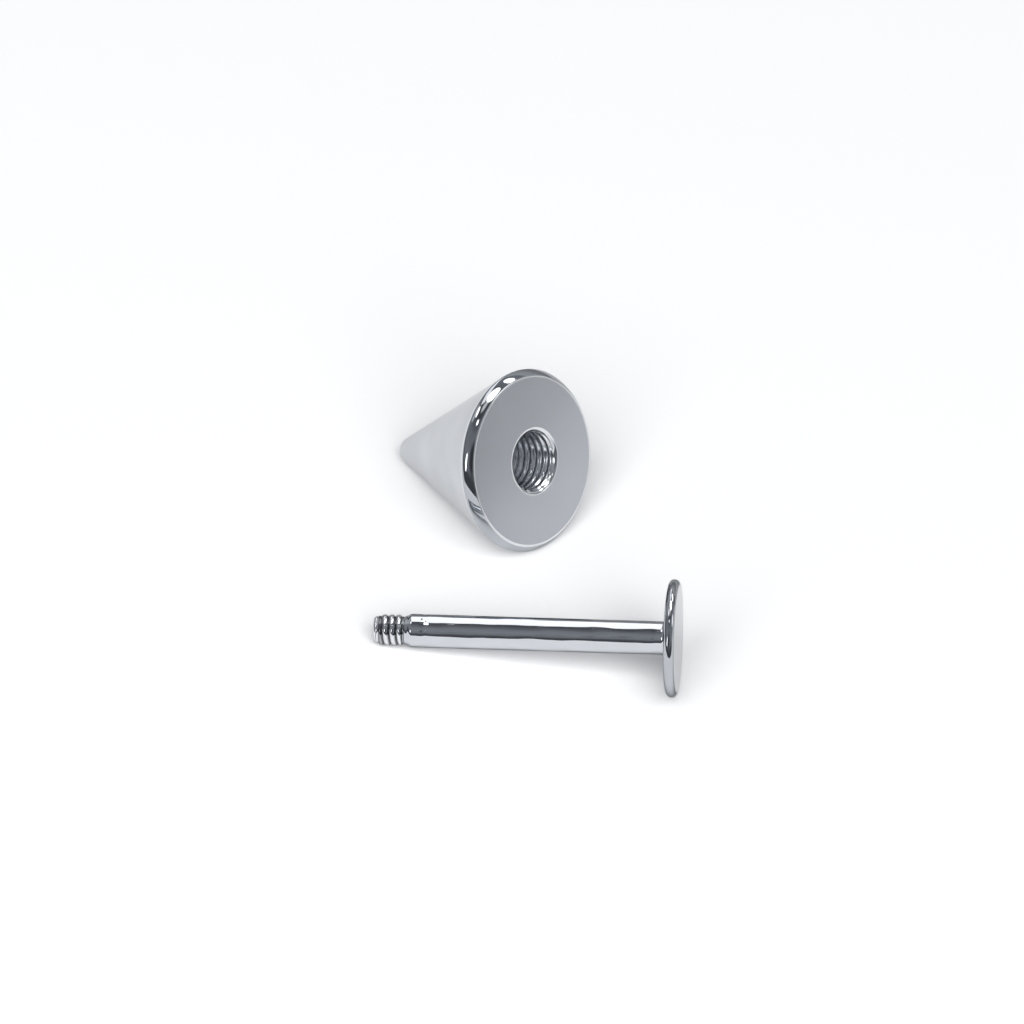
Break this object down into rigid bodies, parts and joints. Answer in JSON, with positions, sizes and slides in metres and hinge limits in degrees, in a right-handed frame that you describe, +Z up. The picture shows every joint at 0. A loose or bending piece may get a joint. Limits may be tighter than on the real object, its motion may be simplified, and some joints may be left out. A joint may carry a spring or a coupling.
{
  "type": "labret stud",
  "caption": "Polished steel labret stud lying unscrewed: a straight post with a flat disc back and threaded end, and a cone spike with a threaded hole.",
  "frame": {"origin": "on the floor, under the middle of the two pieces as they lie", "axes": "+Z up; +X along the post, from its thread to its disc; +Y from the post to the spike that lies behind it"},
  "size_m": [0.0114, 0.0134, 0.006],
  "materials": {
    "spike_steel": "polished surgical steel, fine turned face",
    "post_steel": "polished surgical steel"
  },
  "bodies": {
    "root": {"spike": "spike_steel", "post": "post_steel"}
  },
  "joints": []
}
